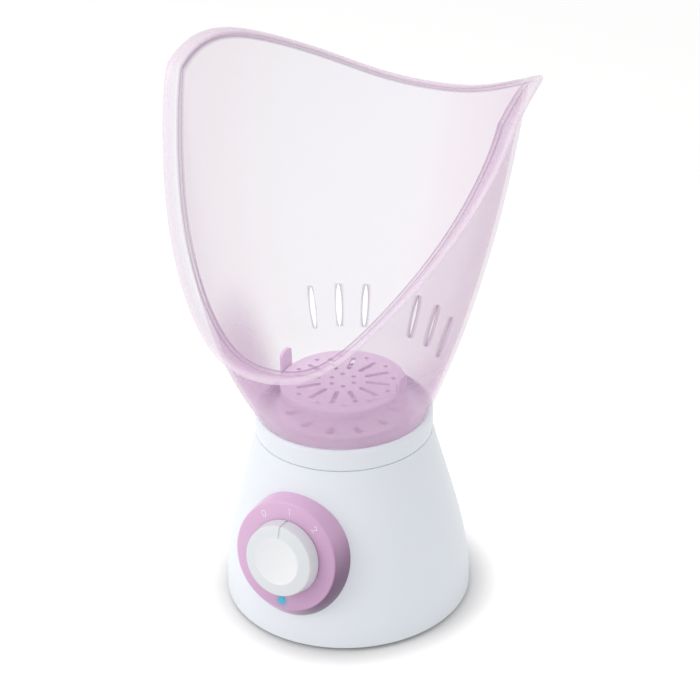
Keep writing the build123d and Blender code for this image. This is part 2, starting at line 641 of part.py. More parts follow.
def wire(radius, bend, *points):
    """Insulated wire along straight runs with rounded bends."""
    path = FilletPolyline(*points, radius=bend)
    section = Plane(origin=path @ 0, z_dir=path % 0) * Circle(radius)
    return sweep(section, path=path)


def behind_switch(x, depth):
    """A point behind the switch, depth measured back along the dial axis."""
    return (dial * Pos(x, 0, SWITCH_BACK - depth)).position


def wires():
    """Each wire of the base by name."""
    right_tip = element_end(1)[3]
    left_tip = element_end(-1)[3]
    below = Vector(0, 0, -7)
    fuse_end = FUSE_LENGTH / 2 + FUSE_LEAD
    terminal_z = HEATER_BOTTOM - THERMOSTAT_HEIGHT - 6
    return {
        "wire_live": wire(
            WIRE_RADIUS, 4,
            (-6, BLOCK_Y, BLOCK_TOP), (-6, BLOCK_Y, BLOCK_TOP + 8), (-24, 18, BLOCK_TOP + 8),
            (-24, -24, 38), behind_switch(-5, 17), behind_switch(-5, 6),
        ),
        "wire_switched": wire(
            WIRE_RADIUS, 3,
            behind_switch(5, 6), behind_switch(5, 15), (22, -20, right_tip.Z - 7),
            (22, 10, right_tip.Z - 7), right_tip + below, right_tip,
        ),
        "wire_neutral": wire(
            WIRE_RADIUS, 3,
            (6, BLOCK_Y, BLOCK_TOP), (6, BLOCK_Y, BLOCK_TOP + 8), (15, FUSE_Y, BLOCK_TOP + 8),
            (15, FUSE_Y, FUSE_Z), (fuse_end, FUSE_Y, FUSE_Z),
        ),
        "wire_fuse": wire(
            WIRE_RADIUS, 3,
            (-fuse_end, FUSE_Y, FUSE_Z), (-15, FUSE_Y, FUSE_Z), (-15, FUSE_Y, terminal_z - 6),
            (0, -4.5, terminal_z - 6), (0, -4.5, terminal_z),
        ),
        "wire_thermostat": wire(
            WIRE_RADIUS, 2.5,
            (0, 4.5, terminal_z), (0, 4.5, left_tip.Z - 7), left_tip + below, left_tip,
        ),
    }


def led_leads():
    leads = []
    for x in (-2.0, 2.0):
        start = Pos(x, BOARD_Y + 3, BOARD_FRONT - BOARD_THICKNESS)
        places = [start, start * Pos(0, 0, -5), Pos(x, -SWITCH_SIZE / 2, BOARD_FRONT - BOARD_THICKNESS - 5)]
        leads.append(wire(0.5, 1.5, *[(dial * place).position for place in places]))
    return leads


# ---- Mask ----------------------------------------------------------------------------------------
def around(values, angle):
    """Smooth left-right symmetric curve through values spaced evenly from chin to back."""
    last = len(values) - 1
    total = 0.0
    for wave in range(last + 1):
        share = 0.0
        for place, value in enumerate(values):
            half = 0.5 if place in (0, last) else 1.0
            share += half * value * cos(pi * wave * place / last)
        half = 0.5 if wave in (0, last) else 1.0
        total += half * share * cos(wave * angle)
    return 2 * total / last


def reach(upper_values, height):
    """Parabola through the foot radius and two reaches higher up."""
    values = (MASK_FOOT_RADIUS, *upper_values)
    total = 0.0
    for own, value in zip(MASK_LEVELS, values):
        weight = 1.0
        for other in MASK_LEVELS:
            if other != own:
                weight *= (height - other) / (own - other)
        total += weight * value
    return total


def wall_point(angle, height):
    """Middle of the mask's wall; angle 0 is the chin and 90 degrees the +X side."""
    depth = reach(FRONT_REACH if cos(angle) > 0 else BACK_REACH, height)
    side = reach(SIDE_REACH, height)
    return Vector(side * sin(angle), -depth * cos(angle), COLLAR_TOP + height)


def wall_directions(angle, height):
    """Unit vectors at a wall point: straight up the wall, and square out of it."""
    point = wall_point(angle, height)
    up = (wall_point(angle, height + 0.5) - wall_point(angle, height - 0.5)).normalized()
    along = wall_point(angle + 0.01, height) - wall_point(angle - 0.01, height)
    return point, up, along.cross(up).normalized()


WALL_STEPS = 7
CURL_STEPS = 4


def mask_section(angle):
    """Points round the wall's cross-section: up the outside, over the lip, down the inside."""
    rise = radians(around(LIP_RISES, angle))
    turn = pi / 2 - rise
    width = around(LIP_WIDTHS, angle)
    set_back = LIP_CURL * tan(turn / 2)
    top = around(RIM_HEIGHTS, angle)
    _, rim_up, _ = wall_directions(angle, top)
    curl_height = top - set_back * rim_up.Z
    middle = []
    for step in range(WALL_STEPS + 1):
        height = curl_height * step / WALL_STEPS
        point, up, out = wall_directions(angle, height)
        if step == 0:
            out = Vector(out.X, out.Y, 0).normalized()
        middle.append((point, out, MASK_WALL / 2))
    start, up, out = wall_directions(angle, curl_height)
    for step in range(1, CURL_STEPS + 1):
        bend = turn * step / CURL_STEPS
        point = start + out * LIP_CURL * (1 - cos(bend)) + up * LIP_CURL * sin(bend)
        middle.append((point, out * cos(bend) - up * sin(bend), MASK_WALL / 2))
    across = out * sin(turn) + up * cos(turn)
    point, away, _ = middle[-1]
    edge = point + across * (width - set_back - LIP_BEAD)
    outside = [place + square * half for place, square, half in middle]
    inside = [place - square * half for place, square, half in middle]
    bead = []
    for step in range(5):
        bend = pi / 2 - pi * step / 4
        bead.append(edge + away * LIP_BEAD * sin(bend) + across * LIP_BEAD * cos(bend))
    return outside + bead + inside[::-1]


MASK_SPANS = 36


def face_mask():
    sections = [mask_section(2 * pi * span / MASK_SPANS) for span in range(MASK_SPANS)]
    rings = [Wire([Edge.make_spline(list(points), periodic=True)]) for points in zip(*sections)]
    last = len(rings) - 1
    curl_end = WALL_STEPS + CURL_STEPS
    bands = [0, WALL_STEPS, curl_end, last - curl_end, last - WALL_STEPS, last]
    skin = [Face(rings[0], [rings[-1]])]
    for first, final in zip(bands, bands[1:]):
        skin += Shell.make_loft(rings[first:final + 1], ruled=False).faces()
    mask = Solid(Shell(skin))
    foot_inner = MASK_FOOT_RADIUS - MASK_WALL / 2
    spigot_outer = COLLAR_BORE - SPIGOT_CLEARANCE
    spigot_inner = spigot_outer - SPIGOT_WALL
    spigot = ring(spigot_inner, spigot_outer, COLLAR_TOP - SPIGOT_DEPTH, COLLAR_TOP)
    spigot += ring(spigot_inner, foot_inner + MASK_WALL / 2, COLLAR_TOP, COLLAR_TOP + 2)
    mask = Part() + mask + spigot
    for side in (-1, 1):
        for step in (-1, 0, 1):
            turn = side * SLOT_GROUP_ANGLE + step * SLOT_STEP
            mask -= Rot(0, 0, turn) * steam_slot()
    return mask


def steam_slot():
    """Cutter for one long oval slot in the mask's back wall."""
    lens = Ellipse(SLOT_WIDTH / 2, SLOT_LENGTH / 2)
    start = (0, MASK_FOOT_RADIUS - 15, COLLAR_TOP + SLOT_HEIGHT)
    middle = Plane(origin=start, x_dir=(1, 0, 0), z_dir=(0, 1, 0))
    return extrude(middle * lens, 60)


# ---- Aroma unit ----------------------------------------------------------------------------------
ARM_INNER = LID_RADIUS + 0.4


def aroma_tray():
    flange = ring(TRAY_RADIUS - TRAY_WALL, TRAY_RADIUS + TRAY_FLANGE, TRAY_LEDGE, TRAY_LEDGE + 1.6)
    side = ring(TRAY_RADIUS - TRAY_WALL, TRAY_RADIUS, TRAY_LEDGE, DECK_TOP)
    deck = disc(TRAY_RADIUS - 0.5, DECK_TOP - 1.6, DECK_TOP)
    for step in range(DECK_OPENINGS):
        tear = Circle(2.6) + make_face(Polyline((0, 2.6), (-7.5, 0), (0, -2.6), (0, 2.6)))
        turn = Rot(0, 0, 360 * (step + 0.5) / DECK_OPENINGS)
        place = turn * Pos((DRUM_RADIUS + TRAY_RADIUS) / 2 + 1.8, 0, DECK_TOP - 3)
        deck -= place * extrude(tear, 5)
    drum = ring(DRUM_RADIUS - TRAY_WALL, DRUM_RADIUS, DECK_TOP - 0.5, LID_TOP - LID_THICKNESS)
    tray = flange + side + deck + drum
    for side_x in (-1, 1):
        arm_x = side_x * (ARM_INNER + ARM_THICKNESS / 2)
        arm = box(ARM_THICKNESS, ARM_WIDTH, DECK_TOP - 1, LID_TOP + ARM_RISE, arm_x, 0)
        arm = fillet(arm.edges().filter_by(Axis.X).group_by(Axis.Z)[-1], 3.2)
        tray += arm
    return tray


def aroma_lid():
    lid = disc(LID_RADIUS, LID_TOP - LID_THICKNESS, LID_TOP)
    lid = fillet(lid.edges().group_by(Axis.Z)[-1], 0.8)
    lid += ring(LID_RADIUS - 1.6, LID_RADIUS, LID_TOP - LID_EDGE, LID_TOP - LID_THICKNESS + 0.1)
    inner = DRUM_RADIUS - TRAY_WALL - 0.3
    lid += ring(inner - 1.5, inner, LID_TOP - LID_EDGE, LID_TOP - LID_THICKNESS + 0.1)
    for step in range(LID_SLOTS):
        place = Rot(0, 0, 360 * (step + 0.5) / LID_SLOTS)
        slot = place * Pos(LID_RADIUS * 0.56, 0, LID_TOP - 6) * extrude(SlotOverall(LID_RADIUS * 0.4, 2.8), 8)
        lid -= slot
        hole = Rot(0, 0, 360 * step / LID_SLOTS) * Pos(LID_RADIUS * 0.8, 0, LID_TOP - 3) * Cylinder(1.3, 10)
        lid -= hole
    for x, y in spots(6, LID_RADIUS * 0.2):
        lid -= disc(1.4, LID_TOP - 5, LID_TOP + 1, x, y)
    return lid


# ---- Files ---------------------------------------------------------------------------------------
def save(name, shape):
    """Write one node; a list becomes a group of separate solids."""
    if isinstance(shape, list):
        shape = Compound(children=[solid for piece in shape for solid in piece.solids()])
    export_step(shape, f"parts/{name}.step")
    print(name, len(shape.solids()), round(shape.volume), shape.is_valid)


makers = [
    base_housing, base_plate, rubber_feet, base_screws, collar_ring, collar_screws, water_bowl, bowl_seal,
    heater_plate, heating_element, heater_studs, heater_nuts, thermostat, thermostat_screws, thermal_fuse,
    fuse_clip, dial_bezel, switch_body, switch_terminals, switch_nut, switch_shaft, knob, indicator_lens,
    power_led, led_board, led_resistor, led_leads, cord_gland, terminal_block, terminal_screws, face_mask,
    aroma_tray, aroma_lid,
]

os.makedirs("parts", exist_ok=True)
for maker in makers:
    save(maker.__name__, maker())
for name, shape in wires().items():
    save(name, shape)
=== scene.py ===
# %% [markdown]
# ## A facial steamer, finished in Blender
#
# The steamer is a bell-shaped white base with a pink dial, a clear tinted mask on
# top, and a small aroma insert inside the mask.  Its moving parts and fits are
# already made.  Every piece is loaded in place, in metres, and this script only
# gives each one its surface, and builds the pieces that need a finer mesh.

import bmesh
import bpy
import json
from math import cos, pi, radians, sin, sqrt, tan
from mathutils import Matrix, Vector


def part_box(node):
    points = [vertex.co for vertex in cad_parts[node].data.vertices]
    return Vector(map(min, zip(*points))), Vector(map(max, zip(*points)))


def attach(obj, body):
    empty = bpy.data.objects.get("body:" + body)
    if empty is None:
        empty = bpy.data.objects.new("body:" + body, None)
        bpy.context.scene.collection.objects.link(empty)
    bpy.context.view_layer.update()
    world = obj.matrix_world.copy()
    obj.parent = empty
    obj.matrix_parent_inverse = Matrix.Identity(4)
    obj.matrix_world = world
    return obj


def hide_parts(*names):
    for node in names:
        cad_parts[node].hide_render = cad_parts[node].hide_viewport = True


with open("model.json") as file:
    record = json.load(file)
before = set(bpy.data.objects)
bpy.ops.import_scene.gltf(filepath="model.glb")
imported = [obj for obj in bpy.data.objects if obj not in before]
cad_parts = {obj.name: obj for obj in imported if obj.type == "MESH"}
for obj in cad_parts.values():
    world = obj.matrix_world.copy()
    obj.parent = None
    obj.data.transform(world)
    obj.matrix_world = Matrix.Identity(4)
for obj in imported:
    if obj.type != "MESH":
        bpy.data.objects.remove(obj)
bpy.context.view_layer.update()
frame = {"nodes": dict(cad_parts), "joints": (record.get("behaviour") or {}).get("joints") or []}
nodes = frame["nodes"]

# %% [markdown]
# ## Camera
#
# A product camera looks slightly down on the steamer from its right-hand side, far
# enough away that the upright lines stay nearly parallel.  It could be placed by
# two points, but an azimuth, an elevation and a distance from one aimed point are
# easier to adjust one at a time.

# %% Camera
camera_azimuth = radians(29.33)
camera_elevation = radians(28.41)
camera_roll = radians(-1.53)
camera_distance = 1.070
camera_lens = 94.42        # on a sensor 36 mm wide
aim_side = 0.0008          # aimed point, measured from the base's foot
aim_up = 0.1304

forward = Vector((
    -sin(camera_azimuth) * cos(camera_elevation),
    cos(camera_azimuth) * cos(camera_elevation),
    -sin(camera_elevation),
))
level = Vector((cos(camera_azimuth), sin(camera_azimuth), 0))
upright = level.cross(forward)
camera_right = level * cos(camera_roll) + upright * sin(camera_roll)
camera_up = upright * cos(camera_roll) - level * sin(camera_roll)

foot_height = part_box("base_housing")[0].z
aimed_point = Vector((0, 0, foot_height)) + camera_right * aim_side + camera_up * aim_up
camera_data = bpy.data.cameras.new("product camera")
camera_data.lens = camera_lens
camera = bpy.data.objects.new("product camera", camera_data)
bpy.context.scene.collection.objects.link(camera)
turn = Matrix((camera_right, camera_up, -forward)).transposed()
camera.matrix_world = Matrix.Translation(aimed_point - forward * camera_distance) @ turn.to_4x4()
camera_data.clip_end = 20
bpy.context.scene.camera = camera
print("camera at", camera.location)

# %% [markdown]
# ## Shader arithmetic
#
# A finish is a small tree of nodes.  Wiring nodes one by one hides the idea, so a
# socket is wrapped in a class that knows plus, minus, times and divided by.  Each
# sum adds its own Math node.  Colours are mixed with a Mix node, because a Math
# node would turn them grey.

# %% A socket that can be used in sums
class Signal:
    """The value that leaves one socket, ready for arithmetic."""

    def __init__(self, finish, socket):
        self.finish = finish
        self.socket = socket

    def sum_node(self, operation, first, second):
        return self.finish.node("ShaderNodeMath", {"operation": operation}, {0: first, 1: second})

    def __add__(self, other):
        return self.sum_node("ADD", self, other)

    def __radd__(self, other):
        return self.sum_node("ADD", other, self)

    def __sub__(self, other):
        return self.sum_node("SUBTRACT", self, other)

    def __rsub__(self, other):
        return self.sum_node("SUBTRACT", other, self)

    def __mul__(self, other):
        return self.sum_node("MULTIPLY", self, other)

    def __rmul__(self, other):
        return self.sum_node("MULTIPLY", other, self)

    def __truediv__(self, other):
        return self.sum_node("DIVIDE", self, other)

    def __pow__(self, other):
        return self.sum_node("POWER", self, other)


# %% [markdown]
# ## One way to make nodes
#
# Every node of every finish is added by one method, which takes the node's type, its
# settings and then its inputs.  The patterns that come back often, such as noise, a
# blend of two colours or a smooth ramp, are short methods on top of it.

# %% A finish: one material and its nodes
class Finish:
    """A material, built by naming its nodes, their settings and their inputs."""

    def __init__(self, name):
        self.material = bpy.data.materials.new(name)
        self.material.use_nodes = True
        self.tree = self.material.node_tree
        self.tree.nodes.clear()

    def node(self, kind, settings=None, inputs=None, output=0):
        """Add a node; settings come first, then numbers, colours or links for its inputs."""
        made = self.tree.nodes.new(kind)
        for name, value in (settings or {}).items():
            if name == "stops":
                ramp = made.color_ramp.elements
                while len(ramp) < len(value):
                    ramp.new(0.5)
                for stop, (place, colour) in zip(ramp, value):
                    stop.position = place
                    stop.color = (*colour, 1.0)
            else:
                setattr(made, name, value)
        for name, value in (inputs or {}).items():
            if isinstance(value, Signal):
                self.tree.links.new(value.socket, made.inputs[name])
            else:
                made.inputs[name].default_value = value
        return Signal(self, made.outputs[output]) if made.outputs else None

    def place(self):
        """Where a point of the surface is, in metres."""
        return self.node("ShaderNodeTexCoord", output="Object")

    def noise(self, scale, detail=2.0, stretch=None):
        """Soft random pattern; scale is its repeats in a metre."""
        where = self.place()
        if stretch:
            where = self.node("ShaderNodeMapping", {}, {"Vector": where, "Scale": stretch})
        inputs = {"Vector": where, "Scale": scale, "Detail": detail}
        return self.node("ShaderNodeTexNoise", {}, inputs)

    def blend(self, share, first, second):
        """Colour between two colours."""
        settings = {"data_type": "RGBA"}
        colours = [(*c, 1.0) if isinstance(c, tuple) else c for c in (first, second)]
        inputs = {0: share, 6: colours[0], 7: colours[1]}
        return self.node("ShaderNodeMix", settings, inputs, output=2)

    def larger(self, first, second):
        """The larger of two values."""
        return self.node("ShaderNodeMath", {"operation": "MAXIMUM"}, {0: first, 1: second})

    def attribute(self, name):
        """A value that is stored on the mesh's points."""
        return self.node("ShaderNodeAttribute", {"attribute_name": name}, output="Fac")

    def ray(self, kind):
        """1 for rays of one kind, such as those of the camera, and 0 for all others."""
        return self.node("ShaderNodeLightPath", output=f"Is {kind} Ray")

    def distance(self, point):
        """How far the surface is from a point, in metres."""
        return self.node("ShaderNodeVectorMath", {"operation": "DISTANCE"},
                         {0: self.place(), 1: tuple(point)}, output="Value")

    def ramp(self, value, start, end):
        """0 up to start, 1 from end on, and smooth between them."""
        return self.node("ShaderNodeMapRange", {"interpolation_type": "SMOOTHSTEP"},
                         {"Value": value, "From Min": start, "From Max": end})

    def bump(self, height, distance, strength=1.0):
        """Surface normal from a height pattern; distance is its depth in metres."""
        inputs = {"Height": height, "Distance": distance, "Strength": strength}
        return self.node("ShaderNodeBump", {}, inputs)

    def surface(self, inputs):
        """The main shader, wired to the material's output."""
        shader = self.node("ShaderNodeBsdfPrincipled", {}, inputs)
        self.node("ShaderNodeOutputMaterial", {}, {"Surface": shader})
        return self.material


# %% [markdown]
# ## White housing plastic
#
# The base, its collar and the knob are moulded in satin white plastic.  A mirror
# coat would look like glazed china, and a plain flat white like paper.  A soft
# gloss with a very fine moulded grain lies between the two, and its roughness
# drifts a little over the surface, as it does on a handled product.

# %% White housing plastic
housing_white = (0.795, 0.835, 0.885)

def white_plastic(name, colour, roughness, coat):
    finish = Finish(name)
    drift = finish.noise(22.0, 2.0)
    grain = finish.noise(2600.0, 1.0)
    shade = finish.blend(drift, tuple(0.985 * part for part in colour), colour)
    return finish.surface({
        "Base Color": shade,
        "Roughness": roughness + 0.06 * drift,
        "IOR": 1.46,
        "Specular IOR Level": 0.35,
        "Coat Weight": coat,
        "Coat Roughness": 0.12,
        "Normal": finish.bump(grain, 0.000004),
    })

white_satin = white_plastic("white satin plastic", housing_white, 0.36, 0.06)

knob_dish_middle = (0.0, -0.0778, 0.0595)
knob_band = (0.0125, 0.0138)       # the painted band shade starts where the dish ends, at the first, and is full at the second

def knob_plastic():
    """The knob's plastic, with painted shade on the finger band round the dish."""
    finish = Finish("white knob plastic")
    # painted shade: the finger band round the dish is darker than the dish
    painted_band_shade = finish.ramp(finish.distance(knob_dish_middle), *knob_band)
    shade = finish.blend(painted_band_shade, (0.80, 0.81, 0.835), (0.70, 0.725, 0.755))
    grain = finish.noise(2600.0, 1.0)
    return finish.surface({
        "Base Color": shade,
        "Roughness": 0.34 + 0.05 * grain,
        "Coat Weight": 0.2,
        "Coat Roughness": 0.1,
        "Normal": finish.bump(grain, 0.000004),
    })

white_knob = knob_plastic()
print("made", white_satin.name, "and", white_knob.name)

# %% [markdown]
# ## Coloured and dark plastics
#
# The floor plate, switch and gland are hidden or hardly seen, and are moulded in dark
# grey with a spark-eroded texture.  That texture could be modelled, but a fine noise
# bump gives it at the right scale.  Feet, seal, circuit board and wire sleeves only
# differ from them in colour, gloss and grain, so one function makes them all.

# %% Coloured and dark plastics
def moulded(name, colour, roughness, grain_scale, grain_depth, coat=0.0):
    finish = Finish(name)
    drift = finish.noise(60.0, 3.0)
    grain = finish.noise(grain_scale, 2.0)
    darker = tuple(0.94 * part for part in colour)
    return finish.surface({
        "Base Color": finish.blend(drift, darker, colour),
        "Roughness": roughness + 0.08 * drift,
        "Coat Weight": coat,
        "Coat Roughness": 0.05,
        "Normal": finish.bump(grain, grain_depth),
    })

dark_plastic = moulded("dark grey plastic", (0.05, 0.052, 0.056), 0.55, 1500.0, 0.00003)
black_plastic = moulded("black switch plastic", (0.018, 0.018, 0.02), 0.45, 1800.0, 0.00002)
pale_plastic = moulded("pale terminal plastic", (0.72, 0.72, 0.68), 0.5, 1500.0, 0.00002)
board_green = moulded("green circuit board", (0.02, 0.12, 0.05), 0.35, 900.0, 0.00001, 0.4)
rubber = moulded("foot rubber", (0.012, 0.012, 0.013), 0.75, 1200.0, 0.00004)
silicone = moulded("seal silicone", (0.62, 0.63, 0.64), 0.6, 900.0, 0.00002)
brown_sleeve = moulded("brown wire sleeve", (0.10, 0.035, 0.015), 0.5, 1500.0, 0.00001)
blue_sleeve = moulded("blue wire sleeve", (0.01, 0.05, 0.30), 0.5, 1500.0, 0.00001)
white_sleeve = moulded("white wire sleeve", (0.70, 0.70, 0.68), 0.5, 1500.0, 0.00001)
print("finishes so far:", len(bpy.data.materials))

# %% [markdown]
# ## Pink dial plastic
#
# The dial ring is moulded in a pearl pink.  Painted shade makes it lightest at its
# upper left and darker towards the lower right, most of all on the skirt that turns
# away from the face.  One flat pink would lose the ring's rounded look, so the
# painted shade is blended by the place on the ring and by the way the surface faces.
# A painted glow of the pilot light tints the ring round its window.

# %% Pink dial plastic
towards_painted_shade = (0.80, -0.128, -0.586)      # painted shade deepens towards the lower right along the dial's face
painted_shade_reach = 0.030                         # the painted shade on the face changes over this much each way
painted_glow_reach = (0.0018, 0.0052)              # the painted glow of the pilot light tints the ring this far out

def pink_with_painted_shade():
    """Pink with painted shade by place and facing, and a painted glow of the pilot light."""
    finish = Finish("pink dial plastic")
    low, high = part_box("dial_bezel")
    centre = (low + high) / 2
    offset = finish.node("ShaderNodeVectorMath", {"operation": "SUBTRACT"},
                         {0: finish.place(), 1: tuple(centre)})
    across = finish.node("ShaderNodeVectorMath", {"operation": "DOT_PRODUCT"},
                         {0: offset, 1: towards_painted_shade}, output="Value")
    normal = finish.node("ShaderNodeTexCoord", output="Normal")
    turned = finish.node("ShaderNodeVectorMath", {"operation": "DOT_PRODUCT"},
                         {0: normal, 1: towards_painted_shade}, output="Value")
    # painted shade: the face darkens towards the lower right, and the skirt further where it
    # turns that way
    lower_right = finish.ramp(across, -painted_shade_reach, painted_shade_reach)
    face = finish.blend(lower_right, (0.70, 0.455, 0.665), (0.54, 0.325, 0.515))
    painted_pink = finish.blend(finish.ramp(turned, 0.30, 0.98), face, (0.135, 0.055, 0.135))
    grain = finish.noise(2200.0, 2.0)
    # painted glow: the pilot light's teal blended into the pink round its window
    lamp_low, lamp_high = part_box("indicator_lens")
    away = finish.distance((lamp_low + lamp_high) / 2)
    painted_glow = 1 - finish.ramp(away, *painted_glow_reach)
    painted_pink = finish.blend(painted_glow * 0.75, painted_pink, (0.10, 0.36, 0.52))
    return finish.surface({
        "Base Color": painted_pink,
        "Roughness": 0.26 + 0.05 * grain,
        "Specular IOR Level": 0.35,
        "Coat Weight": 0.25,
        "Coat Roughness": 0.08,
        "Normal": finish.bump(grain, 0.000003),
    })

dial_pink = pink_with_painted_shade()
print("made", dial_pink.name)

# %% [markdown]
# ## Metals
#
# The water bowl is spun aluminium, so its grain runs round the axis.  Stretching a
# noise thin in height and long around would need polar coordinates; at this size a
# noise squeezed in Z gives the same fine rings.  Screws and brackets share a plain
# zinc finish.

# %% Metals
def metal(name, colour, roughness, stretch, scale):
    finish = Finish(name)
    grain = finish.noise(scale, 3.0, stretch)
    return finish.surface({
        "Base Color": finish.blend(grain, tuple(0.8 * part for part in colour), colour),
        "Metallic": 1.0,
        "Roughness": roughness + 0.15 * grain,
        "Normal": finish.bump(grain, 0.00001),
    })

bowl_metal = metal("spun aluminium", (0.80, 0.81, 0.82), 0.22, (1.0, 1.0, 40.0), 60.0)
cast_metal = metal("cast heater metal", (0.52, 0.53, 0.54), 0.45, (1.0, 1.0, 1.0), 500.0)
zinc = metal("zinc plated steel", (0.62, 0.63, 0.66), 0.28, (1.0, 1.0, 1.0), 400.0)
sheath_metal = metal("heating tube sheath", (0.28, 0.27, 0.26), 0.35, (1.0, 1.0, 1.0), 500.0)
brass = metal("brass", (0.78, 0.57, 0.22), 0.25, (1.0, 1.0, 1.0), 400.0)
print("finishes so far:", len(bpy.data.materials))

# %% [markdown]
# ## Clear tinted plastic
#
# The mask and the aroma insert are thin clear plastic with a breath of lilac.  Seen
# square on, such a wall is almost colourless.  Seen edge on, the view runs through
# more plastic, so the tint deepens and the outline draws itself.  Solid glass would
# bend the light too strongly for a wall this thin, so the wall is a see-through
# layer whose cover and tint both grow towards grazing views.  A breath of mist low
# on the front covers a little more, which softens what stands behind it.

# %% Clear tinted plastic
mist_heights = (0.135, 0.185)      # full at the first height, gone at the second
mist_depths = (-0.010, 0.020)      # full in front of the first, gone behind the second

def mist_share(finish):
    """A breath of mist, low on the front of the wall and thinner upwards."""
    height = finish.node("ShaderNodeSeparateXYZ", {}, {"Vector": finish.place()}, output="Z")
    depth = finish.node("ShaderNodeSeparateXYZ", {}, {"Vector": finish.place()}, output="Y")
    low = 1 - finish.ramp(height, *mist_heights)
    front = 1 - finish.ramp(depth, *mist_depths)
    return low * front

def clear_plastic(name, square_tint, edge_tint, deep_tint,
                  square_cover, edge_cover, outline, mist):
    """outline covers the outermost grazing views, and mist the low front of the wall."""
    finish = Finish(name)
    facing = finish.node("ShaderNodeLayerWeight", {}, {"Blend": 0.5}, output="Facing")
    flow = finish.noise(18.0, 2.0)
    fold = finish.attribute("fold")
    bead = finish.attribute("bead")
    slot_edge = finish.attribute("slot_edge")
    misted = mist_share(finish)
    rim_line = finish.ramp(facing, 0.86, 0.99)
    tint = finish.blend(finish.ramp(facing, 0.04, 0.30), square_tint, edge_tint)
    if mist > 0:
        tint = finish.blend(misted * 0.9, tint, (0.76, 0.575, 0.745))
    # painted highlight: the lip's bead is lighter
    tint = finish.blend(bead * 0.85, tint, (0.90, 0.79, 0.89))
    # painted dark lines on the fold of the lip and round the slots' edges
    dark = finish.larger(rim_line, fold * 0.8)
    dark = finish.larger(dark, slot_edge * 0.7)
    tint = finish.blend(dark, tint, deep_tint)
    cover = square_cover + (edge_cover - square_cover) * facing ** 2.2
    cover = cover + mist * misted + outline * rim_line
    # the painted dark lines and the painted highlight also cover more of what lies behind
    cover = cover + 0.42 * fold + 0.30 * bead + 0.25 * slot_edge
    return finish.surface({
        "Base Color": tint,
        "Roughness": 0.10 + 0.03 * flow,
        "IOR": 1.30,
        "Specular IOR Level": 0.2,
        "Coat Weight": 0.6 * bead + 0.25 * fold,
        "Coat Roughness": 0.04,
        "Alpha": finish.node("ShaderNodeMath", {"operation": "MINIMUM"}, {0: cover, 1: 0.95}),
    })

mask_clear = clear_plastic(
    "clear lilac mask plastic",
    square_tint=(0.58, 0.52, 0.68), edge_tint=(0.56, 0.34, 0.54), deep_tint=(0.30, 0.15, 0.29),
    square_cover=0.13, edge_cover=0.32, outline=0.10, mist=0.34,
)
aroma_clear = clear_plastic(
    "clear pink insert plastic",
    square_tint=(0.90, 0.77, 0.90), edge_tint=(0.86, 0.70, 0.86), deep_tint=(0.62, 0.42, 0.60),
    square_cover=0.86, edge_cover=0.93, outline=0.02, mist=0.0,
)
print("made", mask_clear.name, "and", aroma_clear.name)

# %% [markdown]
# ## Pilot light
#
# A short light pipe shows teal when the steamer is on.  A lamp could light it from
# behind, but it is so small that its own glow does as well.  Its colour is blended
# by the distance from the window's middle, from near white to a deep teal.

# %% Pilot light
glow_reach = 0.0021                # metres from the window's middle

def pilot_glow():
    finish = Finish("pilot light window")
    low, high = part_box("indicator_lens")
    edge = finish.distance((low + high) / 2) / glow_reach
    glow = finish.node("ShaderNodeValToRGB", {"stops": [
        (0.0, (0.80, 1.0, 1.0)), (0.20, (0.55, 0.92, 0.95)), (0.46, (0.005, 0.33, 0.42)),
        (0.95, (0.005, 0.24, 0.34)),
    ]}, {"Fac": edge})
    return finish.surface({
        "Base Color": glow,
        "Roughness": 0.2,
        "Emission Color": glow,
        "Emission Strength": 0.8,
        "Coat Weight": 0.6,
    })

pilot_window = pilot_glow()
print("made", pilot_window.name)

# %% [markdown]
# ## Give each frame piece its finish
#
# The pieces from the frame keep their shape.  Each one only swaps its plain
# material for the finish of what it is made of.

# %% Finishes of the frame's pieces
finish_of = {
    "base_housing": white_satin, "collar_ring": white_satin, "knob": white_knob,
    "dial_bezel": dial_pink, "indicator_lens": pilot_window, "power_led": pilot_window,
    "base_plate": dark_plastic, "cord_gland": dark_plastic, "rubber_feet": rubber,
    "switch_body": black_plastic, "thermostat": black_plastic, "terminal_block": pale_plastic,
    "led_board": board_green, "led_resistor": brown_sleeve, "led_leads": white_sleeve,
    "bowl_seal": silicone, "water_bowl": bowl_metal, "heater_plate": cast_metal,
    "heating_element": sheath_metal, "base_screws": zinc, "collar_screws": zinc,
    "heater_studs": zinc, "heater_nuts": zinc, "thermostat_screws": zinc, "thermal_fuse": zinc,
    "fuse_clip": zinc, "switch_nut": zinc, "switch_shaft": zinc, "switch_terminals": brass,
    "terminal_screws": brass, "wire_live": brown_sleeve, "wire_switched": brown_sleeve,
    "wire_neutral": blue_sleeve, "wire_fuse": blue_sleeve, "wire_thermostat": blue_sleeve,
    "aroma_tray": aroma_clear, "aroma_lid": aroma_clear, "face_mask": mask_clear,
}
for name in ("face_mask", "aroma_tray", "aroma_lid"):
    nodes[name].visible_shadow = False     # clear plastic hardly dims the light
for name, material in finish_of.items():
    mesh = nodes[name].data
    mesh.materials.clear()
    mesh.materials.append(material)
print("finished", len(finish_of), "of", len(nodes))

# %% [markdown]
# ## The mask's shape
#
# The mask is one thin wall.  It starts as a circle on the collar, widens to an oval
# that leans back, and ends in a saddle-shaped rim with a rolled lip.  It could be
# sculpted, but a formula keeps the wall even: a middle surface gives each point its
# place, its upward and its outward direction, and the wall is offset both ways.

